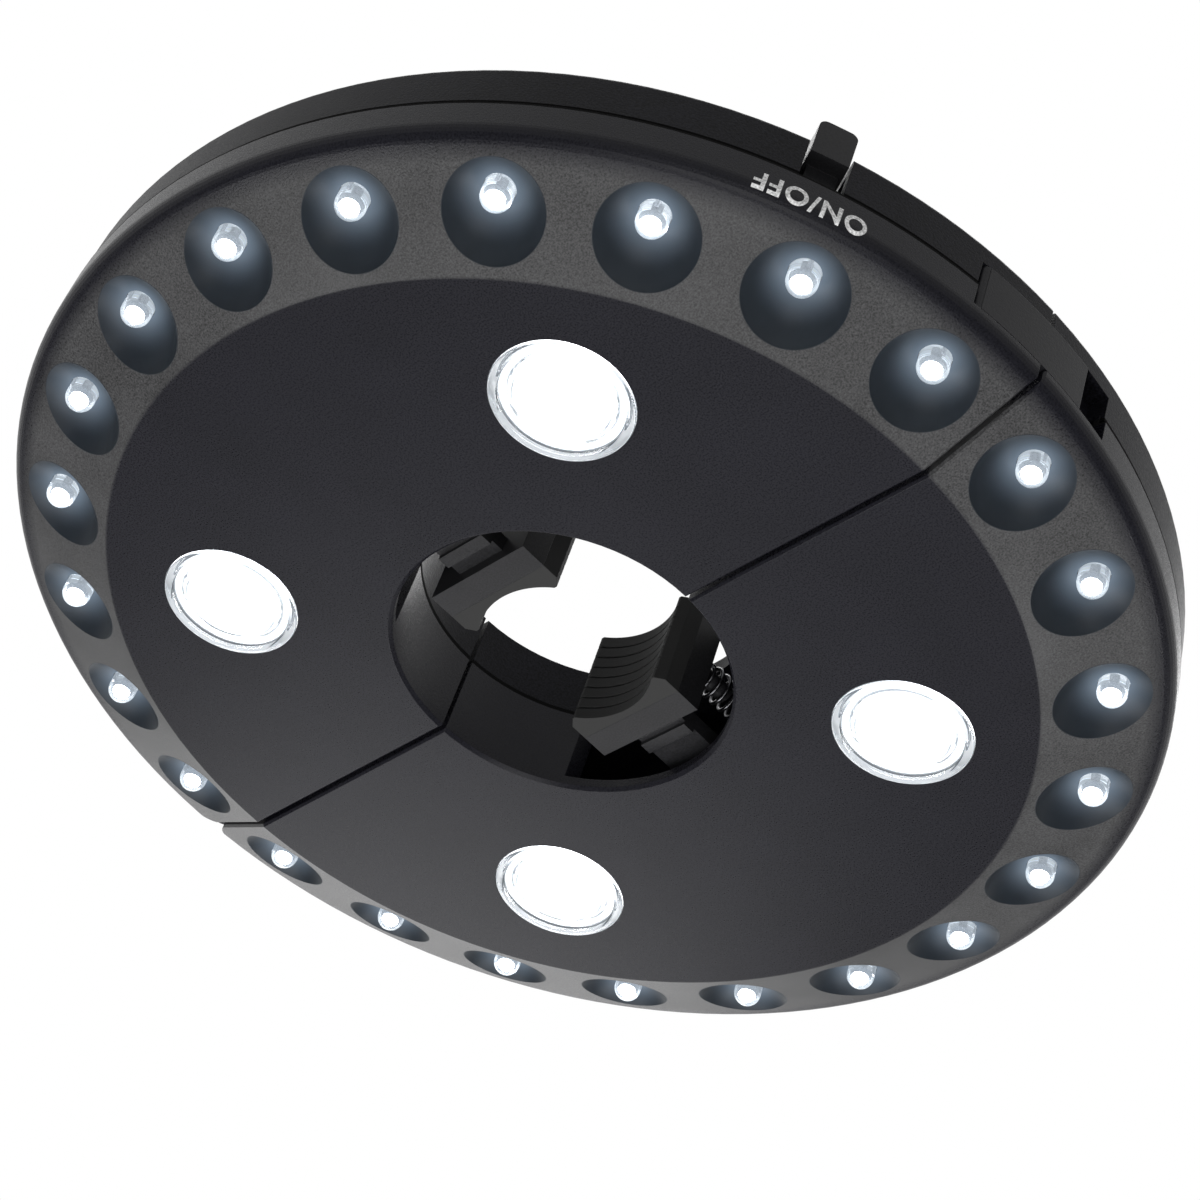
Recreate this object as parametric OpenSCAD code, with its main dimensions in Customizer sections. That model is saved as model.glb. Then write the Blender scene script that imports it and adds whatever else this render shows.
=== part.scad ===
// Round clip-on light for the pole of a patio umbrella.
// Two half discs open on a hinge, close round the pole with a latch and grip it with sprung jaws.
// Millimetres. The pole runs along Z, and Z = 0 is the height of the lower casing's sharp rim corner.
// Half A lies at Y < 0 and half B at Y > 0. The hinge is at -X and the latch at +X.

/* [Disc] */
// Radius of the lower casing's wall
disc_r = 100; // [99:0.25:102]
// Radius of the hole in the middle
hole_r = 29.3; // [28.5:0.1:30]
// Drop from the rim's corner to the flat underside
under_h = 9; // [8:0.25:10]
// Width of the sloping ring between the flat underside and the wall
ring_w = 20.2; // [19.5:0.1:21]
// Rounding of the rim's lower edge
rim_round_r = 3; // [2:0.25:3.5]
// Height of the line where casing and cover meet
part_h = 7.3; // [7:0.1:8]
// Height of the flat top
top_h = 19; // [19:0.25:21]
// Fall of the top from its flat part to the wall
top_fall = 1.9; // [1:0.1:2.4]
// Thickness of the shells
wall_t = 2.3; // [2:0.1:2.5]
// Gap between the two halves
seam_gap = 0.8; // [0.6:0.1:1.1]
// Open groove between casing and cover
part_gap = 0.35; // [0.2:0.05:0.5]
// Step from the casing's wall in to the cover's wall
cover_set = 0.4; // [0.2:0.05:0.5]

/* [Lamps] */
// Small lamps on each half
lamps_per_half = 12; // [8:1:12]
// Distance from the wall in to the middle of a reflector bowl
bowl_in = 11; // [10.5:0.1:11.5]
// Radius of a bowl at its mouth
bowl_r = 8.2; // [7:0.1:8.4]
// Depth of a bowl
bowl_depth = 4; // [3:0.1:4.2]
// Diameter of a small lamp
lamp_d = 5; // [4:0.1:5.4]
// Diameter of a flood lens
flood_d = 23.6; // [20:0.2:25]
// Distance of a flood lens from the seam, and along it from the middle
flood_place = 40.8; // [40:0.1:42]

/* [Clamp] */
// Thinnest pole that the jaws hold
pole_d = 30; // [29.4:0.1:30.4]
// Width of a jaw
jaw_w = 22.4; // [20:0.2:24]
// Height of a jaw
jaw_h = 20; // [16:0.5:20.5]
// Way that a jaw can be pushed outwards
jaw_travel = 8; // [5:0.5:8.5]
// Thickness of a rubber pad in its middle
pad_t = 1.4; // [1.2:0.1:2]
// Thickness of a jaw behind its pad
jaw_t = 4.9; // [4:0.1:5]

/* [Power] */
// Diameter of a battery cell
cell_d = 14.5; // [12:0.1:14.5]
// Length of a battery cell
cell_l = 50.5; // [44:0.5:51]
// Thickness of a battery door
door_t = 2; // [1.6:0.1:2]
// Width of the switch cap
cap_w = 6.3; // [5:0.1:7]
// Way that the switch cap is pressed down
cap_travel = 2; // [1:0.1:2.2]

/* [Hinge and latch] */
// Diameter of the hinge pin
hinge_pin_d = 2.4; // [1.8:0.1:2.6]
// Radius of the hinge knuckles
knuckle_r = 2.6; // [2.4:0.05:2.8]
// Rounding of each half's corner beside the hinge
hinge_corner_r = 6; // [5.5:0.1:6.5]
// Lower edge of the latch tongue
latch_low_h = 2.9; // [2.7:0.1:3.5]
// Upper edge of the latch tongue
latch_top_h = 12.7; // [11:0.1:12.9]

/* [Hidden] */
$fn = 96;

// Clearances: between pieces that move, between pieces that stay, round a turning pin
run_gap = 0.3;
fit_gap = 0.1;
pin_gap = 0.05;
// How far a cut runs past what it cuts, and how far a rib sinks into its shell
over = 1;
sink = 1;
// Larger than the whole light
far = 2 * disc_r;
// Angles of a half circle, and of a cut's run past the seam
half_a = 180;
over_a = 1;

// Shell
seam_y = seam_gap / 2;
flat_r = disc_r - ring_w;
cone_slope = under_h / (disc_r - flat_r);
cone_a = atan(cone_slope);
floor_z = wall_t - under_h;
wall_in_r = disc_r - wall_t;
hole_out_r = hole_r + wall_t;
hole_edge = 0.6;
seam_edge = 0.4;
// Where the casing's hole wall ends, above the parting line
hole_part_rise = 1.2;
hole_part_h = part_h + hole_part_rise;
lip_t = 1;
lip_h = 2;
cover_r = disc_r - cover_set;
cover_in_r = cover_r - wall_t;
top_t = 2;
top_in_h = top_h - top_t;
top_flat_out = 0.4;
top_flat_r = flat_r + top_flat_out;
top_round_r = 1.2;
top_slope = top_fall / (cover_r - top_flat_r);

// Hinge, seen from above
hinge_in = 4;
hinge_x = disc_r - hinge_in;
hinge_corner_y = seam_y + hinge_corner_r;
hinge_corner_x = sqrt(pow(disc_r, 2) - pow(hinge_corner_y, 2)) - hinge_corner_r;
hinge_wall_more = 1;
hinge_inset = wall_t + hinge_wall_more;
knuckle_gap = 0.3;
knuckle_b_top_l = 3.35;
knuckle_a_top_l = 4.7;
knuckle_a_low = [0.6, 3.6];
knuckle_b_low = [knuckle_a_low[1] + knuckle_gap, part_h];
knuckle_b_top = [part_h + part_gap, part_h + part_gap + knuckle_b_top_l];
knuckle_a_top = [knuckle_b_top[1] + knuckle_gap, knuckle_b_top[1] + knuckle_gap + knuckle_a_top_l];
hinge_pin_r = hinge_pin_d / 2;
hinge_pin_end = 0.6;

// Lamps
bowl_ring_r = disc_r - bowl_in;
bowl_z = -bowl_in * cone_slope;
bowl_ball_r = (pow(bowl_r, 2) + pow(bowl_depth, 2)) / (2 * bowl_depth);
bowl_ball = [bowl_ring_r, bowl_z] + (bowl_ball_r - bowl_depth) * [sin(cone_a), -cos(cone_a)];
bowl_step_a = half_a / lamps_per_half;
boss_wall = 1.2;
boss_r = bowl_r + boss_wall;
boss_top_z = 0.6;
lamp_r = lamp_d / 2;
lamp_out = 1.2;
lamp_ring_r = bowl_ring_r + lamp_out;
lamp_low = 5.8;
lamp_flange_w = 0.4;
lamp_flange_r = lamp_r + lamp_flange_w;
lamp_flange_t = 1;

// Circuit board
board_z = boss_top_z + lamp_flange_t;
board_t = 1.6;
board_top_z = board_z + board_t;
board_in_w = 5;
board_out_w = 5.4;
board_in_r = bowl_ring_r - board_in_w;
board_out_r = bowl_ring_r + board_out_w;
board_end_a = 4.5;
board_post_r = 2.6;
board_screw_r = 0.85;
board_head_r = 1.9;
board_head_t = 1;
board_screw_l = 4.4;
board_screw_shares = [1 / 6, 1 / 2, 5 / 6];
board_screw_as = [for (share = board_screw_shares) round(share * lamps_per_half) * bowl_step_a];

// Flood lenses and their boards
flood_r = flood_d / 2;
flood_proud = 0.3;
flood_rim_t = 1.3;
flood_step_r = 8;
flood_step_d = 1;
flood_flange = 1.2;
flood_flange_t = 1;
flood_board_t = 1.4;
flood_seat_gap = 0.2;
flood_seat_r = flood_r + flood_flange + flood_seat_gap;
flood_seat_t = 1.5;
flood_seat_h = 2.1;
flood_board_z = floor_z + flood_seat_h;
chip_w = 3;
chip_t = 0.6;
chip_pitch = 4.6;

// Jaws
pole_r = pole_d / 2;
pad_wrap_a = 38;
pad_front_y = pole_r * cos(pad_wrap_a);
pad_back_y = pole_r + pad_t;
pad_corner = 1.4;
pad_groove = 0.5;
pad_groove_pitch = 2.5;
pad_key_w = 8;
pad_key_d = 2;
jaw_back_y = pad_back_y + jaw_t;
jaw_rise = 0.7;
jaw_low_z = floor_z + jaw_rise;
jaw_top_z = jaw_low_z + jaw_h;
tail_w = 10.4;
tail_t = 3;
tail_rise = 2.5;
tail_z = jaw_low_z + tail_rise;
tail_rib_back = 2.4;
tail_rib_y = jaw_back_y + tail_rib_back;
tail_rib_l = 2.3;
tail_rib_h = 0.8;
// The spring's room holds the jaw's pin, its travel and a rest
jaw_pin_l = 6.7;
jaw_end_gap = 1;
spring_room = jaw_pin_l + jaw_travel + jaw_end_gap;
guide_y = jaw_back_y + spring_room;
guide_t = 2;
guide_w = 28;
guide_rise = 0.9;
guide_top_z = part_h + guide_rise;
lug_w = 16;
lug_t = 2;
lug_y = guide_y + guide_t + run_gap;
jaw_spring_x = 8.2;
jaw_spring_z = 5;
jaw_spring_r = 2.6;
jaw_wire_r = 0.35;
jaw_spring_turns = 7;
jaw_pin_r = 1.6;
window_w = 41;
window_a = 45;
window_top_z = 15;

// Battery bay
bay_wall_t = 1.6;
bay_guide_gap = 0.4;
bay_out_y = guide_y + guide_t + bay_guide_gap;
bay_y = bay_out_y + bay_wall_t;
bay_gap = 0.8;
cell_r = cell_d / 2;
cell_ys = [bay_y + bay_gap + cell_r, bay_y + 2 * bay_gap + 3 * cell_r];
bay_end_y = bay_y + 3 * bay_gap + 4 * cell_r;
bay_rise = 0.2;
bay_low_z = boss_top_z + bay_rise;
bay_floor_t = 1.2;
cell_rise = 0.2;
cell_z = bay_low_z + bay_floor_t + cell_rise + cell_r;
contact_t = 0.5;
contact_spring_l = 5.5;
bay_x = (cell_l + contact_spring_l) / 2 + contact_t;
cell_nub_r = 2.7;
cell_nub_l = 1;
cell_edge = 0.5;
contact_w = 11;
contact_h = 9;
tab_w = 3;
tab_h = 1;
tab_rise = 2.8;
tab_z = cell_z + tab_rise;
tab_out = 1.2;
contact_wire_r = 0.35;
contact_spring_turns = 3;
contact_spring_big_r = 4.6;
contact_spring_small_r = 2.6;
door_ledge = 1;
door_z = top_h - door_t;
door_round_r = 2;
door_grip_w = 14;
door_grip_t = 0.7;
door_grip_d = 0.5;
door_grips = 5;

// Screws through the cover
screw_r = 1.25;
screw_head_r = 2.5;
screw_head_t = 1.6;
screw_seat_rise = 6.7;
screw_seat_z = part_h + screw_seat_rise;
screw_l = 15;
screw_post_r = 3.2;
screw_tube_r = 4.2;
screw_end_in = 8.8;
screw_side_in = 0.8;
screw_end_a = 7.5;
screw_side_a = 50;
screw_places = [
    [flat_r - screw_end_in, screw_end_a], [flat_r - screw_side_in, screw_side_a],
    [flat_r - screw_side_in, half_a - screw_side_a], [flat_r - screw_end_in, half_a - screw_end_a]
];

// Switch
cap_a = 24.7;
cap_low_z = 13.8;
cap_rise = 2.8;
cap_top_z = top_h + cap_rise;
cap_depth = 9;
cap_round_r = 1.3;
cap_notch_gap = 0.45;
stem_side = 0.55;
stem_w = cap_w - 2 * stem_side;
stem_back = 8.5;
stem_front = 2.8;
stem_r = [disc_r - stem_back, disc_r - stem_front];
stem_rise = 2.6;
stem_low_z = part_h + stem_rise;
plunger_w = 3;
plunger_back = 8;
plunger_front = 5;
plunger_r = [disc_r - plunger_back, disc_r - plunger_front];
plunger_rise = 2.7;
plunger_low_z = board_top_z + plunger_rise;
switch_w = 8;
switch_back = 10.5;
switch_front = 3.5;
switch_r = [disc_r - switch_back, disc_r - switch_front];
switch_top_gap = 0.5;
switch_top_z = stem_low_z - cap_travel - switch_top_gap;

// Latch
latch_a_end = 8.7;
latch_b_end = 9;
latch_tongue_end = 5.25;
latch_face_in = 0.1;
latch_face_r = disc_r - latch_face_in;
latch_t = 2.3;
latch_barrel_r = 1.3;
latch_pin_r = 0.6;
latch_pin_bite = 1.4;
latch_pivot_in = 1.5;
latch_pivot_r = disc_r - latch_pivot_in;
latch_pivot_a = 7.8;
latch_back_in = 3.8;
latch_back_r = disc_r - latch_back_in;
latch_wall_in = 5;
latch_wall_r = disc_r - latch_wall_in;
latch_wall_a = 1.3;
latch_gap_h = 0.25;
latch_ledge_t = 1.2;
latch_ridge_t = 0.4;
latch_hook_t = 0.35;
latch_hook_as = [3.4, 4.6];
latch_keep_t = 0.6;
latch_keep_as = [1.2, 3];

// Hanging hooks
hook_x = 44;
hook_y = 24;
hook_t = 3;
hook_barrel_r = 1.6;
hook_barrel_w = 9;
hook_shank_w = 4;
hook_reach = 24;
hook_ring_r = 7;
hook_ring_in_r = 4;
hook_pin_r = 0.8;
hook_pin_bite = 1.5;
hook_drop = 1.8;
hook_z = top_h - hook_drop;
hook_pocket_w = 15;
hook_pocket_back = 2.4;
hook_pocket_l = 36;
hook_pocket_z = hook_z - hook_barrel_r - run_gap;
hook_pocket_wall = 1.6;
hook_pocket_floor = 1.5;

// Lead wires
lead_r = 0.6;
lead_off = 1.1;
lead_sides = 8;
flood_as = [-45, -135];

casing_colour = [0.16, 0.16, 0.17];
cover_colour = [0.14, 0.14, 0.15];
jaw_colour = [0.2, 0.2, 0.21];
rubber_colour = [0.1, 0.1, 0.1];
steel_colour = [0.72, 0.73, 0.75];
board_colour = [0.1, 0.32, 0.18];
lens_colour = [0.93, 0.96, 1];
cell_colour = [0.35, 0.4, 0.45];
lead_colour = [0.7, 0.12, 0.1];

// Points of the arc that rounds the corner at p, between the lines to a and to b
function corner(a, p, b, r, n = 6) =
    let (
        u = (a - p) / norm(a - p),
        v = (b - p) / norm(b - p),
        half = acos(u * v) / 2,
        c = p + (u + v) / norm(u + v) * r / sin(half),
        s = p + u * r / tan(half) - c,
        e = p + v * r / tan(half) - c
    )
    [for (i = [0:n]) let (w = s * (n - i) / n + e * i / n) c + w * r / norm(w)];

// Outline of a rectangle with round corners, its middle at the origin
function round_rect(w, h, r) =
    let (p = [[-w, -h] / 2, [w, -h] / 2, [w, h] / 2, [-w, h] / 2])
    [for (i = [0:3]) each corner(p[(i + 3) % 4], p[i], p[(i + 1) % 4], r, 5)];

// Ring or ring sector between two radii and two heights
module sector(r, z, a0, a1) {
    rotate([0, 0, a0])
        rotate_extrude(angle = a1 - a0)
            translate([r[0], z[0]])
                square([r[1] - r[0], z[1] - z[0]]);
}

// Block between two corners
module block(low, high) {
    translate(low)
        cube(high - low);
}

// The space of half A, its seam side drawn in by inset and its corner at the hinge by corner_inset
module half_space(inset, corner_inset) {
    difference() {
        block([-far, -far, -far], [far, -seam_y - inset, far]);
        difference() {
            block([-far, -hinge_corner_y, -far], [-hinge_corner_x, far, far]);
            translate([-hinge_corner_x, -hinge_corner_y, -far])
                cylinder(r = hinge_corner_r - corner_inset, h = 2 * far);
        }
    }
}

// Puts what is drawn for half A on half B
module on_half_b() {
    mirror([0, 1, 0])
        children();
}

// The hinge's axis
module at_hinge(z) {
    translate([-hinge_x, 0, z])
        children();
}

// A knuckle of the hinge
module knuckle(span) {
    at_hinge(span[0])
        cylinder(r = knuckle_r, h = span[1] - span[0]);
}

// Room for the other half's knuckle, and the pin's hole
module hinge_room(span) {
    at_hinge(span[0])
        cylinder(r = knuckle_r + run_gap, h = span[1] - span[0]);
}

// Bevels along both long edges of the seam and down the wall at the latch end, for half A
module seam_bevels(edge_z) {
    side = seam_edge * sqrt(2);
    translate([0, -seam_y, edge_z])
        rotate([45, 0, 0])
            cube([2 * flat_r, side, side], center = true);
    translate([sqrt(pow(disc_r, 2) - pow(seam_y, 2)), -seam_y, 0])
        rotate([0, 0, 45])
            cube([side, side, far], center = true);
}

// Bevels along the seam where the underside slopes
module slope_bevels() {
    side = seam_edge * sqrt(2);
    for (end = [0, 1])
        mirror([end, 0, 0])
            translate([(flat_r + disc_r) / 2, -seam_y, -under_h / 2])
                rotate([0, -cone_a, 0])
                    rotate([45, 0, 0])
                        cube([(disc_r - flat_r) / cos(cone_a), side, side], center = true);
}

// Full block of half A's lower casing
module casing_block() {
    rim = corner([flat_r, -under_h], [disc_r, 0], [disc_r, part_h], rim_round_r);
    intersection() {
        rotate_extrude()
            polygon(concat(
                [[hole_r + hole_edge, -under_h], [flat_r, -under_h]],
                rim,
                [
                    [disc_r, part_h], [wall_in_r + lip_t, part_h],
                    [wall_in_r + lip_t, part_h + lip_h], [wall_in_r, part_h + lip_h],
                    [wall_in_r, part_h], [hole_out_r, part_h],
                    [hole_out_r, hole_part_h], [hole_r, hole_part_h],
                    [hole_r, -under_h + hole_edge]
                ]
            ));
        half_space(0, 0);
    }
}

// Hollow of half A's lower casing
module casing_hollow() {
    flat_in_r = flat_r - wall_t * tan(cone_a / 2);
    rim_in_z = wall_t / cos(cone_a) - wall_t * cone_slope;
    intersection() {
        rotate_extrude()
            polygon([
                [hole_out_r, floor_z], [flat_in_r, floor_z], [wall_in_r, rim_in_z],
                [wall_in_r, part_h + over], [hole_out_r, part_h + over]
            ]);
        half_space(wall_t, hinge_inset);
    }
}

// Turns to each small lamp's place
module at_lamps() {
    for (i = [0:lamps_per_half - 1])
        rotate([0, 0, -(i + 0.5) * bowl_step_a])
            children();
}

// Goes to each flood lens
module at_floods() {
    for (side = [-1, 1])
        translate([side * flood_place, -flood_place, 0])
            children();
}

// Goes to each screw of the cover
module at_screws() {
    for (place = screw_places)
        rotate([0, 0, -place[1]])
            translate([place[0], 0, 0])
                children();
}

// Goes to each screw of the circuit board
module at_board_screws() {
    for (a = board_screw_as)
        rotate([0, 0, -a])
            translate([bowl_ring_r, 0, 0])
                children();
}

// What stands in the hollow and is cut to the shell's slope
module casing_slope_ribs() {
    at_lamps()
        translate([bowl_ring_r, 0, -under_h])
            cylinder(r = boss_r, h = under_h + boss_top_z);
    at_board_screws()
        translate([0, 0, -under_h])
            cylinder(r = board_post_r, h = under_h + board_z);
}

// What stands on the flat floor
module casing_floor_ribs() {
    at_screws()
        translate([0, 0, floor_z - sink])
            cylinder(r = screw_post_r, h = part_h - floor_z + sink);
    at_floods()
        difference() {
            translate([0, 0, floor_z - sink])
                cylinder(r = flood_seat_r + flood_seat_t, h = flood_board_z - floor_z + sink);
            translate([0, 0, floor_z])
                cylinder(r = flood_seat_r, h = far);
        }
    difference() {
        block([-guide_w / 2, -guide_y - guide_t, floor_z - sink], [guide_w / 2, -guide_y, guide_top_z]);
        block(
            [-tail_w / 2 - run_gap, -guide_y - guide_t - over, tail_z - run_gap],
            [tail_w / 2 + run_gap, -guide_y + over, guide_top_z + over]
        );
    }
}

// Windows in the hole's wall, where the jaws reach through
module jaw_window(low, high) {
    block([-window_w / 2, -hole_out_r - over, low], [window_w / 2, over - hole_r * cos(window_a), high]);
}

// Pocket of the latch on one half, that ends at the angle end
module latch_pocket(end) {
    z = [latch_low_h - latch_gap_h, latch_top_h + latch_gap_h];
    sector([latch_back_r, disc_r + over], z, -end, over_a);
}

// Back wall of the latch pocket
module latch_back(end, z) {
    sector([latch_wall_r, wall_in_r + cover_set], z, -end - latch_wall_a, 0);
}

// Keeper rib on half B that the tongue's hook drops behind
module latch_keeper() {
    sector(
        [latch_back_r - sink, latch_back_r + latch_keep_t],
        [latch_low_h + latch_ridge_t, latch_top_h - latch_ridge_t], -latch_keep_as[1], -latch_keep_as[0]
    );
}

// Lower casing of one half, drawn as half A
module lower_casing(own, other, latch_end) {
    difference() {
        union() {
            difference() {
                casing_block();
                difference() {
                    casing_hollow();
                    casing_slope_ribs();
                    latch_back(latch_end, [-under_h, part_h + over]);
                }
            }
            casing_floor_ribs();
            knuckle(own);
        }
        at_lamps() {
            translate([bowl_ball[0], 0, bowl_ball[1]])
                sphere(r = bowl_ball_r);
            translate([lamp_ring_r, 0, -under_h])
                cylinder(r = lamp_r + fit_gap, h = under_h + boss_top_z + over);
        }
        at_board_screws()
            translate([0, 0, board_z - board_screw_l])
                cylinder(r = board_screw_r + pin_gap, h = far);
        at_floods()
            translate([0, 0, -under_h - over])
                cylinder(r = flood_r + fit_gap, h = wall_t + 2 * over);
        at_screws()
            translate([0, 0, screw_seat_z - screw_l - over])
                cylinder(r = screw_r + pin_gap, h = far);
        jaw_window(floor_z, hole_part_h + over);
        latch_pocket(latch_end);
        hinge_room(other);
        seam_bevels(-under_h);
        slope_bevels();
        children();
    }
}

// Hole along the hinge pin, wider in the knuckles that turn
module hinge_hole(gap) {
    at_hinge(knuckle_a_low[0] + hinge_pin_end)
        cylinder(r = hinge_pin_r + gap, h = far);
}

module latch_pin_hole() {
    rotate([0, 0, -latch_pivot_a])
        translate([latch_pivot_r, 0, latch_low_h - latch_gap_h - latch_pin_bite])
            cylinder(r = latch_pin_r, h = latch_top_h - latch_low_h + 2 * (latch_gap_h + latch_pin_bite));
}

module lower_casing_a() {
    color(casing_colour)
        lower_casing(knuckle_a_low, [knuckle_a_low[1], part_h + lip_h + over], latch_a_end) {
            hinge_hole(0);
            latch_pin_hole();
            switch_notch(part_h + part_gap);
        }
}

module lower_casing_b() {
    color(casing_colour)
        on_half_b()
            union() {
                lower_casing(knuckle_b_low, [knuckle_a_low[0] - run_gap, knuckle_b_low[0]], latch_b_end) {
                    hinge_hole(pin_gap);
                }
                intersection() {
                    latch_keeper();
                    block([0, -far, -far], [far, 0, part_h]);
                }
            }
}

// Full block of half A's upper cover
module cover_block() {
    rim_top = [cover_r, top_h - top_fall];
    rim = corner([cover_r, part_h], rim_top, [top_flat_r, top_h], top_round_r);
    intersection() {
        rotate_extrude()
            polygon(concat(
                [[hole_r, hole_part_h], [hole_out_r, hole_part_h], [hole_out_r, part_h + part_gap]],
                [[cover_r, part_h + part_gap]],
                rim,
                [[top_flat_r, top_h], [hole_r + hole_edge, top_h], [hole_r, top_h - hole_edge]]
            ));
        half_space(0, 0);
    }
}

// Hollow of half A's upper cover, with the rebate for the casing's lip
module cover_hollow() {
    edge_in_h = top_in_h - (cover_in_r - top_flat_r) * top_slope;
    intersection() {
        rotate_extrude()
            polygon([
                [hole_out_r, part_h], [cover_in_r, part_h], [cover_in_r, edge_in_h],
                [top_flat_r, top_in_h], [hole_out_r, top_in_h]
            ]);
        half_space(wall_t, hinge_inset);
    }
}

// Rounded block for a battery door or the opening that it lies in
module door_plate(gap, z) {
    w = 2 * (bay_x + door_ledge - gap);
    h = bay_end_y - bay_y + 2 * (door_ledge - gap);
    translate([0, -(bay_y + bay_end_y) / 2, z[0]])
        linear_extrude(z[1] - z[0])
            polygon(round_rect(w, h, door_round_r));
}

// Goes to the hook's pivot, with +X along the shank; side is -1 or 1
module at_hook(side) {
    translate([side * hook_x, -hook_y, 0])
        mirror([side < 0 ? 1 : 0, 0, 0])
            children();
}

// Goes to the middle of the switch, with +X outwards
module at_switch() {
    rotate([0, 0, -cap_a])
        children();
}

// Notch for the switch cap, from the height low upwards
module switch_notch(low) {
    half_w = cap_w / 2 + cap_notch_gap;
    at_switch()
        block([disc_r - cap_depth - cap_notch_gap, -half_w, low], [disc_r + over, half_w, far]);
}

// Upper cover of one half, drawn as half A
module upper_cover(own, other, latch_end, hook_side) {
    difference() {
        union() {
            difference() {
                cover_block();
                difference() {
                    cover_hollow();
                    latch_back(latch_end, [part_h, latch_top_h + latch_gap_h + latch_ledge_t]);
                }
            }
            block(
                [-bay_x - bay_wall_t, -bay_end_y - bay_wall_t, bay_low_z],
                [bay_x + bay_wall_t, -bay_out_y, top_in_h + sink]
            );
            at_screws()
                translate([0, 0, part_h])
                    cylinder(r = screw_tube_r, h = top_in_h + sink - part_h);
            at_hook(hook_side)
                block(
                    [-hook_pocket_back - hook_pocket_wall, -hook_pocket_w / 2 - hook_pocket_wall,
                        hook_pocket_z - hook_pocket_floor],
                    [hook_pocket_l + hook_pocket_wall, hook_pocket_w / 2 + hook_pocket_wall, top_in_h + sink]
                );
            knuckle(own);
        }
        rotate_extrude()
            translate([cover_in_r - over, part_h - over])
                square([wall_in_r + lip_t + fit_gap - cover_in_r + over, lip_h + over]);
        jaw_window(hole_part_h - over, window_top_z);
        latch_pocket(latch_end);
        block(
            [-bay_x, -bay_end_y, bay_low_z + bay_floor_t],
            [bay_x, -bay_y, far]
        );
        door_plate(0, [door_z - run_gap, far]);
        contact_slots();
        at_screws() {
            translate([0, 0, part_h - over])
                cylinder(r = screw_r + 2 * fit_gap, h = far);
            translate([0, 0, screw_seat_z])
                cylinder(r = screw_head_r + run_gap, h = far);
        }
        at_hook(hook_side) {
            block(
                [-hook_pocket_back, -hook_pocket_w / 2, hook_pocket_z],
                [hook_pocket_l, hook_pocket_w / 2, far]
            );
            hook_pin(0);
        }
        hinge_room(other);
        seam_bevels(top_h);
        children();
    }
}

module upper_cover_a() {
    color(cover_colour)
        upper_cover(knuckle_a_top, [part_h - over, knuckle_a_top[0]], latch_a_end, -1) {
            hinge_hole(0);
            latch_pin_hole();
            switch_notch(part_h);
        }
}

module upper_cover_b() {
    color(cover_colour)
        on_half_b()
            union() {
                upper_cover(
                    knuckle_b_top, [knuckle_a_top[0] - knuckle_gap, knuckle_a_top[1] + run_gap],
                    latch_b_end, 1
                ) {
                    hinge_hole(pin_gap);
                }
                intersection() {
                    latch_keeper();
                    block([0, -far, part_h + part_gap], [far, 0, far]);
                }
            }
}

// Battery door: lid in its ledge, with ridges for the thumb
module battery_door() {
    difference() {
        door_plate(run_gap, [door_z, top_h]);
        for (i = [0:door_grips - 1])
            translate([0, -bay_end_y + (2 * i + 2) * door_grip_t, top_h])
                cube([door_grip_w, door_grip_t, 2 * door_grip_d], center = true);
    }
}

module battery_door_a() {
    color(cover_colour)
        battery_door();
}

module battery_door_b() {
    color(cover_colour)
        on_half_b()
            battery_door();
}

// Curved circuit board over the small lamps
module circuit_board() {
    difference() {
        sector([board_in_r, board_out_r], [board_z, board_top_z], board_end_a - half_a, -board_end_a);
        at_board_screws()
            translate([0, 0, board_z - over])
                cylinder(r = board_screw_r + fit_gap, h = board_t + 2 * over);
    }
}

module circuit_board_a() {
    color(board_colour)
        circuit_board();
}

module circuit_board_b() {
    color(board_colour)
        on_half_b()
            circuit_board();
}

// Small lamps: a domed body down through the bowl, a flange under the board
module small_lamps() {
    at_lamps()
        translate([lamp_ring_r, 0, board_z]) {
            translate([0, 0, -lamp_flange_t])
                cylinder(r = lamp_flange_r, h = lamp_flange_t);
            translate([0, 0, lamp_r - lamp_flange_t - lamp_low])
                cylinder(r = lamp_r, h = lamp_low - lamp_r);
            translate([0, 0, lamp_r - lamp_flange_t - lamp_low])
                sphere(r = lamp_r);
        }
}

module small_lamps_a() {
    color(lens_colour)
        small_lamps();
}

module small_lamps_b() {
    color(lens_colour)
        on_half_b()
            small_lamps();
}

// Flood lenses: a raised rim, a flat face and a sunk step, with a flange inside the floor
module flood_lenses() {
    low = -under_h - flood_proud;
    face = -under_h;
    at_floods()
        rotate_extrude()
            polygon([
                [0, face + flood_step_d], [flood_step_r, face + flood_step_d], [flood_step_r, face],
                [flood_r - flood_rim_t, face], [flood_r - flood_rim_t, low], [flood_r, low],
                [flood_r, floor_z], [flood_r + flood_flange, floor_z],
                [flood_r + flood_flange, floor_z + flood_flange_t], [0, floor_z + flood_flange_t]
            ]);
}

module flood_lenses_a() {
    color(lens_colour)
        flood_lenses();
}

module flood_lenses_b() {
    color(lens_colour)
        on_half_b()
            flood_lenses();
}

// Round boards over the flood lenses, each with four chips
module flood_boards() {
    at_floods() {
        translate([0, 0, flood_board_z])
            cylinder(r = flood_seat_r + flood_seat_t - fit_gap, h = flood_board_t);
        for (x = [-1, 1])
            for (y = [-1, 1])
                translate([x * chip_pitch / 2, y * chip_pitch / 2, flood_board_z - chip_t / 2])
                    cube([chip_w, chip_w, chip_t], center = true);
    }
}

module flood_boards_a() {
    color(board_colour)
        flood_boards();
}

module flood_boards_b() {
    color(board_colour)
        on_half_b()
            flood_boards();
}

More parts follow.
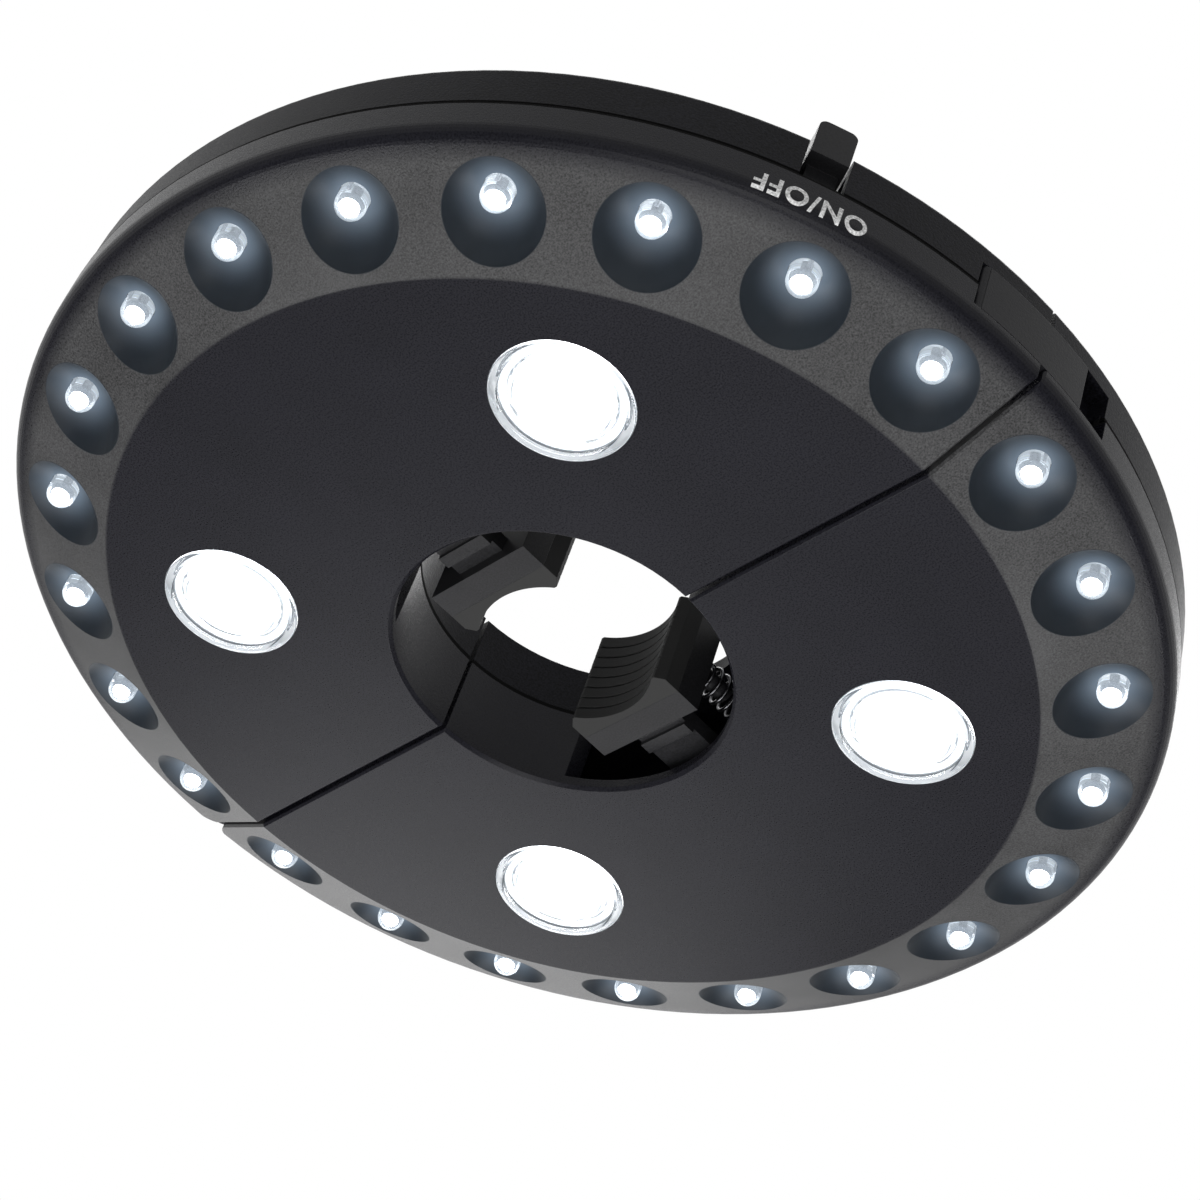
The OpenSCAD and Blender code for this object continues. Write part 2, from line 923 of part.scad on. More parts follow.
// One battery cell along X, its nub at +X
module cell() {
    rotate([0, 90, 0])
        rotate_extrude()
            polygon([
                [0, 0], [cell_r - cell_edge, 0], [cell_r, cell_edge],
                [cell_r, cell_l - cell_nub_l - cell_edge], [cell_r - cell_edge, cell_l - cell_nub_l],
                [cell_nub_r, cell_l - cell_nub_l], [cell_nub_r, cell_l], [0, cell_l]
            ]);
}

// The two cells of a half point opposite ways
module battery_cells() {
    for (i = [0, 1])
        translate([0, -cell_ys[i], cell_z])
            mirror([i, 0, 0])
                translate([bay_x - contact_t - cell_l, 0, 0])
                    cell();
}

module battery_cells_a() {
    color(cell_colour)
        battery_cells();
}

module battery_cells_b() {
    color(cell_colour)
        on_half_b()
            battery_cells();
}

// Contact plates: one for each cell at -X, one across both at +X
module contact_plate(y0, y1) {
    block(
        [-bay_x, -y1 - contact_w / 2, cell_z - contact_h / 2],
        [contact_t - bay_x, -y0 + contact_w / 2, cell_z + contact_h / 2]
    );
}

// Solder tabs of the two plates at -X, grown by gap on each side
module contact_tabs(gap) {
    for (y = cell_ys)
        block(
            [-bay_x - bay_wall_t - tab_out, -y - tab_w / 2 - gap, tab_z - tab_h / 2 - gap],
            [gap - bay_x, -y + tab_w / 2 + gap, tab_z + tab_h / 2 + gap]
        );
}

module contact_slots() {
    contact_tabs(fit_gap);
}

module battery_contacts() {
    for (y = cell_ys)
        contact_plate(y, y);
    contact_tabs(0);
    mirror([1, 0, 0])
        contact_plate(cell_ys[0], cell_ys[1]);
}

module battery_contacts_a() {
    color(steel_colour)
        battery_contacts();
}

module battery_contacts_b() {
    color(steel_colour)
        on_half_b()
            battery_contacts();
}

// Rings and sides of a coil's wire: eight rings a turn, six sides
coil_rings = 8;
coil_sides = 6;
// How far the wire's straight end stands off the first turn, in wire radii
coil_bend_share = 1.3;

// A point of a ring: radial, tangential and axial offsets from the coil's axis at angle t
function coil_point(t, radial, tangent, z) =
    [radial * cos(t) - tangent * sin(t), radial * sin(t) + tangent * cos(t), z];

// Points of a coil along Z, from radius r0 to radius r1, with both wire ends turned along Z
function coil_points(r0, r1, wire, turns, length) =
    let (
        bend = coil_bend_share * wire,
        end = 2 * wire + bend,
        steps = turns * coil_rings,
        turn_a = 360 / coil_rings,
        side_a = 360 / coil_sides
    )
    concat(
        [
            for (z = [0, 2 * wire]) for (k = [0:coil_sides - 1])
                coil_point(0, r0 + wire * cos(k * side_a), -bend - wire * sin(k * side_a), z)
        ],
        [
            for (i = [0:steps]) for (k = [0:coil_sides - 1])
                let (r = r0 + (r1 - r0) * i / steps)
                coil_point(
                    i * turn_a, r + wire * cos(k * side_a), 0,
                    end + (length - 2 * end) * i / steps + wire * sin(k * side_a)
                )
        ],
        [
            for (z = [length - 2 * wire, length]) for (k = [0:coil_sides - 1])
                coil_point(steps * turn_a, r1 + wire * cos(k * side_a), bend - wire * sin(k * side_a), z)
        ]
    );

// Triangles of a tube that has this many rings of this many sides, closed at both ends
function tube_faces(rings, sides) = concat(
    [for (k = [1:sides - 2]) [0, k, k + 1]],
    [
        for (i = [0:rings - 2]) for (k = [0:sides - 1])
            let (a = i * sides + k, b = i * sides + (k + 1) % sides)
            each [[a, a + sides, b], [b, a + sides, b + sides]]
    ],
    [let (last = (rings - 1) * sides) for (k = [1:sides - 2]) [last, last + k + 1, last + k]]
);

// Least gap between neighbouring turns, measured between the middles of the rings
function coil_gap(r0, r1, wire, turns, length) =
    let (
        end = (2 + coil_bend_share) * wire,
        steps = turns * coil_rings,
        mids = [
            for (i = [0:steps])
                coil_point(i * 360 / coil_rings, r0 + (r1 - r0) * i / steps, 0,
                    end + (length - 2 * end) * i / steps)
        ]
    )
    min([
        for (i = [0:steps]) for (j = [i + coil_rings / 2:1:steps])
            norm(mids[i] - mids[j])
    ]) - 2 * wire;

module coil(r0, r1, wire, turns, length) {
    polyhedron(
        coil_points(r0, r1, wire, turns, length),
        tube_faces(turns * coil_rings + 5, coil_sides)
    );
}

// Conical springs at the flat end of each cell
module contact_springs() {
    for (i = [0, 1])
        translate([0, -cell_ys[i], cell_z])
            mirror([i, 0, 0])
                translate([contact_t - bay_x, 0, 0])
                    rotate([0, 90, 0])
                        coil(
                            contact_spring_big_r, contact_spring_small_r, contact_wire_r,
                            contact_spring_turns, contact_spring_l
                        );
}

module contact_springs_a() {
    color(steel_colour)
        contact_springs();
}

module contact_springs_b() {
    color(steel_colour)
        on_half_b()
            contact_springs();
}

echo(str("least gap in a contact spring: ", coil_gap(
    contact_spring_big_r, contact_spring_small_r, contact_wire_r, contact_spring_turns, contact_spring_l)));

// Screws from the top through the cover into the casing's posts
module cover_screws() {
    at_screws()
        difference() {
            union() {
                translate([0, 0, screw_seat_z - screw_l])
                    cylinder(r = screw_r, h = screw_l + screw_head_t / 2);
                translate([0, 0, screw_seat_z])
                    cylinder(r = screw_head_r, h = screw_head_t);
            }
            translate([0, 0, screw_seat_z + screw_head_t])
                for (turn = [0, 90])
                    rotate([0, 0, turn])
                        cube([1.4 * screw_head_r, screw_head_r / 4, screw_head_t], center = true);
        }
}

module cover_screws_a() {
    color(steel_colour)
        cover_screws();
}

module cover_screws_b() {
    color(steel_colour)
        on_half_b()
            cover_screws();
}

// Small screws that hold the circuit board
module board_screws() {
    at_board_screws() {
        translate([0, 0, board_top_z - board_screw_l])
            cylinder(r = board_screw_r, h = board_screw_l);
        translate([0, 0, board_top_z])
            cylinder(r = board_head_r, h = board_head_t);
    }
}

module board_screws_a() {
    color(steel_colour)
        board_screws();
}

module board_screws_b() {
    color(steel_colour)
        on_half_b()
            board_screws();
}

// Jaw: the head behind the rubber pad, and a tail that runs through the guide wall to a stop lug
module clamp_jaw() {
    difference() {
        block([-jaw_w / 2, -jaw_back_y, jaw_low_z], [jaw_w / 2, -pad_back_y, jaw_top_z]);
        block(
            [-pad_key_w / 2 - fit_gap, -pad_back_y - pad_key_d - fit_gap, jaw_low_z + jaw_h / 4 - fit_gap],
            [pad_key_w / 2 + fit_gap, over - pad_back_y, jaw_top_z - jaw_h / 4 + fit_gap]
        );
    }
    block([-tail_w / 2, -lug_y - lug_t, tail_z], [tail_w / 2, -jaw_back_y, tail_z + tail_t]);
    block([-lug_w / 2, -lug_y - lug_t, tail_z], [lug_w / 2, -lug_y, tail_z + tail_t]);
    block(
        [-tail_w / 2, -tail_rib_y - tail_rib_l, tail_z - tail_rib_h],
        [tail_w / 2, -tail_rib_y, tail_z + tail_t]
    );
    for (side = [-1, 1])
        translate([side * jaw_spring_x, -jaw_back_y, jaw_spring_z])
            rotate([90, 0, 0])
                cylinder(r = jaw_pin_r, h = jaw_pin_l);
}

module clamp_jaw_a() {
    color(jaw_colour)
        clamp_jaw();
}

module clamp_jaw_b() {
    color(jaw_colour)
        on_half_b()
            clamp_jaw();
}

// Rubber pad: hollowed to the pole, grooved across, keyed into the jaw
module grip_pad() {
    grooves = floor(jaw_h / pad_groove_pitch) - 1;
    middle_z = jaw_low_z + jaw_h / 2 - pad_groove / 2;
    difference() {
        union() {
            translate([0, 0, jaw_low_z])
                linear_extrude(jaw_h)
                    polygon([
                        [-jaw_w / 2, -pad_back_y], [jaw_w / 2, -pad_back_y],
                        [jaw_w / 2, -pad_front_y - pad_corner], [jaw_w / 2 - pad_corner, -pad_front_y],
                        [pad_corner - jaw_w / 2, -pad_front_y], [-jaw_w / 2, -pad_front_y - pad_corner]
                    ]);
            block(
                [-pad_key_w / 2, -pad_back_y - pad_key_d, jaw_low_z + jaw_h / 4],
                [pad_key_w / 2, -pad_back_y, jaw_top_z - jaw_h / 4]
            );
        }
        translate([0, 0, jaw_low_z - over])
            cylinder(r = pole_r, h = jaw_h + 2 * over);
        for (i = [1:grooves])
            translate([0, 0, middle_z + (i - (grooves + 1) / 2) * pad_groove_pitch])
                cylinder(r = pole_r + pad_groove, h = pad_groove);
    }
}

module grip_pad_a() {
    color(rubber_colour)
        grip_pad();
}

module grip_pad_b() {
    color(rubber_colour)
        on_half_b()
            grip_pad();
}

// Coil springs between the jaw's head and the guide wall
jaw_spring_l = spring_room - 2 * fit_gap;

module jaw_springs() {
    for (side = [-1, 1])
        translate([side * jaw_spring_x, -jaw_back_y - fit_gap, jaw_spring_z])
            rotate([90, 0, 0])
                coil(jaw_spring_r, jaw_spring_r, jaw_wire_r, jaw_spring_turns, jaw_spring_l);
}

module jaw_springs_a() {
    color(steel_colour)
        jaw_springs();
}

module jaw_springs_b() {
    color(steel_colour)
        on_half_b()
            jaw_springs();
}

echo(str("least gap in a jaw spring: ", coil_gap(
    jaw_spring_r, jaw_spring_r, jaw_wire_r, jaw_spring_turns, jaw_spring_l)));

// Fold-out hook: barrel, shank and an open ring, folded flat into the cover
module hanging_hook(side) {
    at_hook(side)
        translate([0, 0, hook_z])
            difference() {
                union() {
                    translate([0, hook_barrel_w / 2, 0])
                        rotate([90, 0, 0])
                            cylinder(r = hook_barrel_r, h = hook_barrel_w);
                    block(
                        [0, -hook_shank_w / 2, -hook_t / 2],
                        [hook_reach - hook_ring_in_r, hook_shank_w / 2, hook_t / 2]
                    );
                    translate([hook_reach, 0, -hook_t / 2])
                        difference() {
                            cylinder(r = hook_ring_r, h = hook_t);
                            translate([0, 0, -over])
                                cylinder(r = hook_ring_in_r, h = hook_t + 2 * over);
                            block(
                                [-hook_ring_r, hook_shank_w / 2, -over],
                                [0, hook_ring_r + over, hook_t + over]
                            );
                        }
                }
                translate([0, far / 2, 0])
                    rotate([90, 0, 0])
                        cylinder(r = hook_pin_r + pin_gap, h = far);
            }
}

module hanging_hook_a() {
    color(jaw_colour)
        hanging_hook(-1);
}

module hanging_hook_b() {
    color(jaw_colour)
        on_half_b()
            hanging_hook(1);
}

// Pin of a hook, in the hook's own place; gap widens its hole
module hook_pin(gap) {
    translate([0, hook_pocket_w / 2 + hook_pin_bite, hook_z])
        rotate([90, 0, 0])
            cylinder(r = hook_pin_r + gap, h = hook_pocket_w + 2 * hook_pin_bite);
}

module hook_pin_a() {
    color(steel_colour)
        at_hook(-1)
            hook_pin(0);
}

module hook_pin_b() {
    color(steel_colour)
        on_half_b()
            at_hook(1)
                hook_pin(0);
}

// Tube along points [radius, height] in the upright plane at the angle a, off to one side by off
function lead_points(path, off) = [
    for (i = [0:len(path) - 1])
        let (
            before = path[max(i - 1, 0)],
            after = path[min(i + 1, len(path) - 1)],
            dir = (after - before) / norm(after - before)
        )
        for (k = [0:lead_sides - 1])
            let (
                s = lead_r * cos(k * 360 / lead_sides),
                t = lead_r * sin(k * 360 / lead_sides)
            )
            [path[i][0] - t * dir[1], off + s, path[i][1] + t * dir[0]]
];

module lead(a, path, off) {
    rotate([0, 0, a])
        polyhedron(lead_points(path, off), tube_faces(len(path), lead_sides));
}

// Route of a lead from a flood board out to the circuit board
flood_lead_path = [
    [62, flood_board_z + flood_board_t], [62, -2], [62.5, 0], [64, 2.2], [67, 4.2], [71, 5.4],
    [76, 5.8], [80, 5.7], [83, 5.3], [85, 4.8], [86, 4.2], [86.2, board_top_z]
];

// Route of a lead out to the circuit board, from a contact tab at the radius r
tab_lead_start = [[0, 0], [0, 1.1], [0.6, 1.7], [2, 1.9]];
tab_lead_end = [[77, 13.4], [81, 11.4], [84, 8.6], [85.6, 6], [86.2, 4.4], [86.2, board_top_z]];
function tab_lead_path(r) = concat([for (p = tab_lead_start) [r, tab_z + tab_h / 2] + p], tab_lead_end);

// Leads of one half
module lead_wires() {
    for (a = flood_as)
        for (off = [-lead_off, lead_off])
            lead(a, flood_lead_path, off);
    tab_x = bay_x + bay_wall_t + tab_out / 2;
    for (y = cell_ys)
        lead(half_a + atan(y / tab_x), tab_lead_path(norm([tab_x, y])), 0);
}

module lead_wires_a() {
    color(lead_colour)
        lead_wires();
}

module lead_wires_b() {
    color(lead_colour)
        on_half_b()
            lead_wires();
}

// Switch cap: a block with a round top that follows the wall, a stem and a plunger
module switch_cap() {
    h = cap_top_z - cap_low_z;
    color(jaw_colour)
        at_switch() {
            intersection() {
                translate([disc_r - cap_depth, 0, cap_low_z])
                    rotate([90, 0, 90])
                        linear_extrude(cap_depth + over)
                            polygon(concat(
                                [[-cap_w / 2, 0], [cap_w / 2, 0]],
                                corner([cap_w / 2, 0], [cap_w / 2, h], [-cap_w / 2, h], cap_round_r),
                                corner([cap_w / 2, h], [-cap_w / 2, h], [-cap_w / 2, 0], cap_round_r)
                            ));
                cylinder(r = disc_r, h = far);
            }
            block([stem_r[0], -stem_w / 2, stem_low_z], [stem_r[1], stem_w / 2, cap_low_z]);
            block(
                [plunger_r[0], -plunger_w / 2, plunger_low_z],
                [plunger_r[1], plunger_w / 2, stem_low_z]
            );
        }
}

// Switch body on the circuit board, open at the top for the plunger
module switch_body() {
    color("dimgray")
        at_switch()
            difference() {
                block([switch_r[0], -switch_w / 2, board_top_z], [switch_r[1], switch_w / 2, switch_top_z]);
                block(
                    [plunger_r[0] - run_gap, -plunger_w / 2 - run_gap, plunger_low_z - cap_travel - run_gap],
                    [plunger_r[1] + run_gap, plunger_w / 2 + run_gap, switch_top_z + over]
                );
            }
}

// Latch tongue: a curved plate across the seam, a barrel at one end and a hook at the other
module latch_tongue() {
    z = [latch_low_h, latch_top_h];
    back_r = latch_face_r - latch_t;
    color(casing_colour)
        difference() {
            union() {
                sector([back_r, latch_face_r], z, -latch_pivot_a, latch_tongue_end);
                rotate([0, 0, -latch_pivot_a])
                    translate([latch_pivot_r, 0, z[0]])
                        cylinder(r = latch_barrel_r, h = z[1] - z[0]);
                sector(
                    [back_r - latch_hook_t, back_r + sink], [z[0] + latch_ridge_t, z[1] - latch_ridge_t],
                    latch_hook_as[0], latch_hook_as[1]
                );
            }
            rotate([0, 0, -latch_pivot_a])
                translate([latch_pivot_r, 0, z[0] - over])
                    cylinder(r = latch_pin_r + pin_gap, h = z[1] - z[0] + 2 * over);
        }
}

module latch_pin() {
    color(steel_colour)
        latch_pin_hole();
}

module hinge_pin() {
    low = knuckle_a_low[0] + hinge_pin_end;
    color(steel_colour)
        at_hinge(low)
            cylinder(r = hinge_pin_r, h = knuckle_a_top[1] - hinge_pin_end - low);
}

lower_casing_a();
lower_casing_b();
upper_cover_a();
upper_cover_b();
battery_door_a();
battery_door_b();
circuit_board_a();
circuit_board_b();
small_lamps_a();
small_lamps_b();
flood_lenses_a();
flood_lenses_b();
flood_boards_a();
flood_boards_b();
battery_cells_a();
battery_cells_b();
battery_contacts_a();
battery_contacts_b();
contact_springs_a();
contact_springs_b();
cover_screws_a();
cover_screws_b();
board_screws_a();
board_screws_b();
clamp_jaw_a();
clamp_jaw_b();
grip_pad_a();
grip_pad_b();
jaw_springs_a();
jaw_springs_b();
hanging_hook_a();
hanging_hook_b();
hook_pin_a();
hook_pin_b();
lead_wires_a();
lead_wires_b();
switch_cap();
switch_body();
latch_tongue();
latch_pin();
hinge_pin();
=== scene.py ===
"""Looks of a round clip-on light in two halves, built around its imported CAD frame.

Metres, in the frame of the CAD model: Z is the axis of the disc and of its hole, half A lies at Y < 0
and half B at Y > 0, the hinge is at -X and the latch at +X.
"""

import math

import bmesh
import bpy
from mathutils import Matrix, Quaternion, Vector


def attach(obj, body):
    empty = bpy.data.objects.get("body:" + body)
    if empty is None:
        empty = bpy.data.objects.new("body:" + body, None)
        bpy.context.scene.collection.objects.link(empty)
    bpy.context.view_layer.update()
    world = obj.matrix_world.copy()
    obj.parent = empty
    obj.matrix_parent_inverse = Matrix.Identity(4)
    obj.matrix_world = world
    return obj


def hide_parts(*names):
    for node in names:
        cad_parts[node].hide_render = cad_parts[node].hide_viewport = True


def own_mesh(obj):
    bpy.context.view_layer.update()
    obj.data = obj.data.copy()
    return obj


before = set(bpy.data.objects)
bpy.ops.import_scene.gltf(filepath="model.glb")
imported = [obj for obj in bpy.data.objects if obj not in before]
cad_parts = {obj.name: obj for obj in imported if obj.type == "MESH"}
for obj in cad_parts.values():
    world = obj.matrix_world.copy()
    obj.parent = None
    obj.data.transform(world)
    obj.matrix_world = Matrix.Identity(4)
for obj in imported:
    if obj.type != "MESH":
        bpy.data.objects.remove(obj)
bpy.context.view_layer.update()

MM = 0.001
SIDES = {"a": -1, "b": 1}

# Camera: place, the point that it looks at, roll about its own axis, and angle of view
CAMERA_PLACE = Vector((0.3113, -0.1866, -0.3415))
CAMERA_AIM = Vector((0.0088, -0.0026, 0))
CAMERA_ROLL = math.radians(20.37)
CAMERA_ANGLE = math.radians(22.88)

# Disc: wall, drop to the underside, sloping ring and the rounding of its rim
DISC_R = 100 * MM
UNDER_H = 9 * MM
RING_W = 20.2 * MM
RIM_ROUND_R = 3 * MM
RING_A = math.atan2(UNDER_H, RING_W)

# Parting lines between casing and cover: the heights that each takes up on the rim and in the hole,
# the bands of height painted black on the rim and in the hole as painted shade in the parting lines'
# shadow, and the radii between which the hole's band gives way to the rim's
PART_H = 7.3 * MM
HOLE_PART_H = 8.5 * MM
RIM_SHADE_BAND = (PART_H - 0.35 * MM, PART_H + 1 * MM)
HOLE_SHADE_BAND = (HOLE_PART_H - 0.8 * MM, HOLE_PART_H)
HOLE_TO_RIM = (40 * MM, 41 * MM)

# Grain of the moulded shells, the rounding of their sharp edges, half the width of the change from the
# flat to the ring, and the heights between which the ring's coarse grain fades out towards the rim
SHELL_GRAIN = 0.3 * MM
COVER_GRAIN = 0.4 * MM
EDGE_ROUND_R = 0.15 * MM
RING_BORDER = 0.3 * MM
RING_FADE_ZS = (-2 * MM, -0.8 * MM)

# Blacks of the shells; the ring's black is lighter than the flat's, as painted light for the light that
# the sloping ring catches
BLACK = (0, 0, 0)
SHELL_BLACK = (0.006, 0.006, 0.0085)
RING_LIT_BLACK = (0.03, 0.03, 0.031)
BOWL_BLACK = (0.010, 0.013, 0.017)
COVER_BLACK = (0.005, 0.005, 0.0065)

# Small lamps and their bowls, each bowl a part of a ball: BOWL_BORDER is where its finish ends, measured
# from the ball's middle; then the strength and the reach of a painted glow on each bowl that stands for
# its lamp's light; and POST_GAP the way from a lamp's axis to its second post
LAMPS = 12
LAMP_STEP = math.pi / LAMPS
BOWL_IN = 11 * MM
BOWL_R = 8.2 * MM
BOWL_DEPTH = 4 * MM
BALL_R = (BOWL_R**2 + BOWL_DEPTH**2) / (2 * BOWL_DEPTH)
BALL_OUT = DISC_R - BOWL_IN + (BALL_R - BOWL_DEPTH) * math.sin(RING_A)
BALL_Z = -BOWL_IN * math.tan(RING_A) - (BALL_R - BOWL_DEPTH) * math.cos(RING_A)
BOWL_BORDER = (BALL_R + 0.02 * MM, BALL_R + 0.12 * MM)
LAMP_RING_R = 90.2 * MM
LAMP_R = 2.5 * MM
PAINTED_LAMP_GLOW = 0.24
PAINTED_GLOW_R = 7.5 * MM
POST_GAP = 1.5 * MM

# Flood lenses, and the boards behind them
FLOOD_PLACE = 40.8 * MM
FLOOD_BOARD_Z = -4.6 * MM
CHIP_PITCH = 4.6 * MM
CHIP_DOME_R = 2.2 * MM

# Springs: their wire, the pair behind each jaw, and the one at each cell's flat end
WIRE_R = 0.35 * MM
JAW_SPRING_X = 8.2 * MM
JAW_SPRING_Z = 5 * MM
JAW_SPRING_R = 2.6 * MM
JAW_SPRING_TURNS = 7
JAW_SPRING_Y = (21.4 * MM, 36.9 * MM)
CELL_Z = 9.45 * MM
CELL_YS = (49.05 * MM, 64.35 * MM)
CONTACT_X = 28 * MM
CONTACT_SPRING_R = (4.6 * MM, 2.6 * MM)
CONTACT_SPRING_L = 5.5 * MM
CONTACT_SPRING_TURNS = 3

# Mark on the wall beside the switch: where it starts and ends round the wall, its letters' foot and
# height, how far it stands off the wall, how far its letters are thickened as a share of their size, how
# widely they are spaced, and into how many strips they are cut each way to bend with the wall
MARK_AS = (math.radians(-19.8), math.radians(-30.2))
MARK_BASE_Z = 4.2 * MM
MARK_H = 3.8 * MM
MARK_T = 0.03 * MM
MARK_WEIGHT = 0.026
MARK_SPACING = 1.12
MARK_STRIPS = (24, 14)

# Angle between faces from which an edge of a new piece is sharp
SHARP_A = math.radians(35)

# Studio: strength of the even light, and the floor's half width and height
SOFT_STRENGTH = 0.25
FLOOR_HALF = 6
FLOOR_Z = -1.2


def make_camera():
    """The camera at the photograph's place and angle."""
    data = bpy.data.cameras.new("camera")
    data.sensor_width = 36
    data.angle = CAMERA_ANGLE
    data.clip_start = 0.01
    camera = bpy.data.objects.new("camera", data)
    bpy.context.scene.collection.objects.link(camera)
    look = (CAMERA_AIM - CAMERA_PLACE).to_track_quat("-Z", "Y")
    camera.rotation_mode = "QUATERNION"
    camera.rotation_quaternion = look @ Quaternion((0, 0, 1), CAMERA_ROLL)
    camera.location = CAMERA_PLACE
    bpy.context.scene.camera = camera


class Finish:
    """A material with one Principled shader, and short calls that add nodes before it."""

    def __init__(self, name, **values):
        self.material = bpy.data.materials.new(name)
        self.material.use_nodes = True
        self.tree = self.material.node_tree
        self.tree.nodes.clear()
        out = self.tree.nodes.new("ShaderNodeOutputMaterial")
        self.shader = self.tree.nodes.new("ShaderNodeBsdfPrincipled")
        self.link(self.shader.outputs["BSDF"], out.inputs["Surface"])
        for key, value in values.items():
            self.shader.inputs[key.replace("_", " ")].default_value = value
        self.coords = self.node("ShaderNodeTexCoord").outputs["Object"]

    def node(self, kind, **values):
        """A new node whose attributes take these values."""
        made = self.tree.nodes.new(kind)
        for key, value in values.items():
            setattr(made, key, value)
        return made

    def link(self, output, socket):
        self.tree.links.new(output, socket)

    def feed(self, socket, value):
        """Links an output to a socket, or sets the socket to a value."""
        if isinstance(value, bpy.types.NodeSocket):
            self.link(value, socket)
        else:
            socket.default_value = value

    def drive(self, name, value):
        """Links an output to one of the shader's sockets."""
        self.link(value, self.shader.inputs[name])

    def math(self, operation, a, b=0.0):
        made = self.node("ShaderNodeMath", operation=operation)
        self.feed(made.inputs[0], a)
        self.feed(made.inputs[1], b)
        return made.outputs[0]

    def times(self, a, b):
        return self.math("MULTIPLY", a, b)

    def axes(self):
        """The three coordinates of the point."""
        split = self.node("ShaderNodeSeparateXYZ")
        self.link(self.coords, split.inputs["Vector"])
        return split.outputs["X"], split.outputs["Y"], split.outputs["Z"]

    def length(self, *parts):
        """Length of a vector given by its parts."""
        total = 0.0
        for part in parts:
            total = self.math("ADD", self.times(part, part), total)
        return self.math("SQRT", total)

    def noise(self, size, detail=2.0, rough=0.5, coords=None):
        """Noise whose features are about this many metres across, from 0 to 1."""
        made = self.node("ShaderNodeTexNoise")
        made.inputs["Scale"].default_value = 1 / size
        made.inputs["Detail"].default_value = detail
        made.inputs["Roughness"].default_value = rough
        self.link(coords or self.coords, made.inputs["Vector"])
        return made.outputs["Fac"]

    def spread(self, value, low, high, out_low, out_high):
        """Maps a value from one range to another, kept inside it."""
        made = self.node("ShaderNodeMapRange")
        self.feed(made.inputs["Value"], value)
        for key, number in (("From Min", low), ("From Max", high)):
            made.inputs[key].default_value = number
        self.feed(made.inputs["To Min"], out_low)
        self.feed(made.inputs["To Max"], out_high)
        return made.outputs["Result"]

    def mix(self, share, a, b):
        """Mix of two colours."""
        made = self.node("ShaderNodeMix", data_type="RGBA")
        self.feed(made.inputs["Factor"], share)
        for socket, value in ((made.inputs[6], a), (made.inputs[7], b)):
            if isinstance(value, bpy.types.NodeSocket):
                self.link(value, socket)
            else:
                socket.default_value = (*value, 1)
        return made.outputs[2]

    def shades(self, share, colour, low, high):
        """Mix of a darker and a lighter shade of one colour."""
        return self.mix(share, [c * low for c in colour], [c * high for c in colour])

    def bump(self, height, depth, strength, normal=None):
        """Bump of this depth in metres; it goes to the shader's normal."""
        made = self.node("ShaderNodeBump")
        self.feed(made.inputs["Strength"], strength)
        made.inputs["Distance"].default_value = depth
        self.link(height, made.inputs["Height"])
        if normal is not None:
            self.link(normal, made.inputs["Normal"])
        self.drive("Normal", made.outputs["Normal"])

    def soft_edges(self, radius):
        """Normal that rounds sharp edges by this radius."""
        made = self.node("ShaderNodeBevel", samples=4)
        made.inputs["Radius"].default_value = radius
        return made.outputs["Normal"]


def grained(finish, grain):
    """Fine grain, and the same with a broad mottle under it."""
    fine = finish.noise(grain, detail=3, rough=0.6)
    broad = finish.noise(14 * MM)
    tone = finish.math("ADD", finish.times(fine, 0.8), finish.times(broad, 0.2))
    return fine, finish.spread(tone, 0.35, 0.65, 0, 1)


def moulded_plastic(name, colour, grain=0.4 * MM, depth=0.04 * MM, rough=0.35, shine=0.12):
    """Moulded plastic with a fine spark-eroded grain."""
    finish = Finish(name, Specular_IOR_Level=shine)
    fine, tone = grained(finish, grain)
    finish.drive("Base Color", finish.shades(tone, colour, 0.6, 1.6))
    finish.drive("Roughness", finish.spread(fine, 0.3, 0.7, rough - 0.05, rough + 0.1))
    finish.bump(fine, depth, 0.8, finish.soft_edges(EDGE_ROUND_R))
    return finish.material


def groove_shade_mask(finish, low, high):
    """1 between two heights: a band painted black as painted shade, where a parting line lies in shadow.
    """
    z = finish.axes()[2]
    soft = 0.04 * MM
    above = finish.spread(z, low - soft, low, 0, 1)
    below = finish.spread(z, high, high + soft, 1, 0)
    return finish.times(above, below)


def cover_plastic(name, colour):
    """The cover's grained plastic, painted black as painted shade where its lower edge lies in the
    parting line's shadow.
    """
    finish = Finish(name, Specular_IOR_Level=0.06)
    fine, tone = grained(finish, COVER_GRAIN)
    groove_shade = groove_shade_mask(finish, *RIM_SHADE_BAND)
    # Black painted shade in the band under the parting line.
    finish.drive("Base Color", finish.mix(groove_shade, finish.shades(tone, colour, 0.2, 2.4), BLACK))
    rough = finish.spread(fine, 0.3, 0.7, 0.3, 0.45)
    finish.drive("Roughness", finish.spread(groove_shade, 0, 1, rough, 1))
    grain = finish.spread(groove_shade, 0, 1, 1, 0)
    finish.bump(fine, 0.06 * MM, grain, finish.soft_edges(EDGE_ROUND_R))
    return finish.material


def bowls_and_painted_glow(finish):
    """1 on the round bowls of the small lamps and 0 elsewhere, and a painted glow on them that stands
    for the lamps' light.
    """
    x, y, z = finish.axes()
    turn = finish.math("ARCTAN2", y, x)
    sector = finish.math("ADD", finish.math("FLOOR", finish.math("DIVIDE", turn, LAMP_STEP)), 0.5)
    turn = finish.math("SUBTRACT", turn, finish.times(sector, LAMP_STEP))
    out = finish.length(x, y)
    along = finish.math("SUBTRACT", finish.times(out, finish.math("COSINE", turn)), BALL_OUT)
    across = finish.times(out, finish.math("SINE", turn))
    away = finish.length(along, across, finish.math("SUBTRACT", z, BALL_Z))
    mask = finish.spread(away, *BOWL_BORDER, 1, 0)
    off = finish.math("ADD", along, BALL_OUT - LAMP_RING_R)
    near = finish.spread(finish.length(off, across), LAMP_R, PAINTED_GLOW_R, 1, 0)
    return mask, finish.times(mask, finish.math("POWER", near, 2))


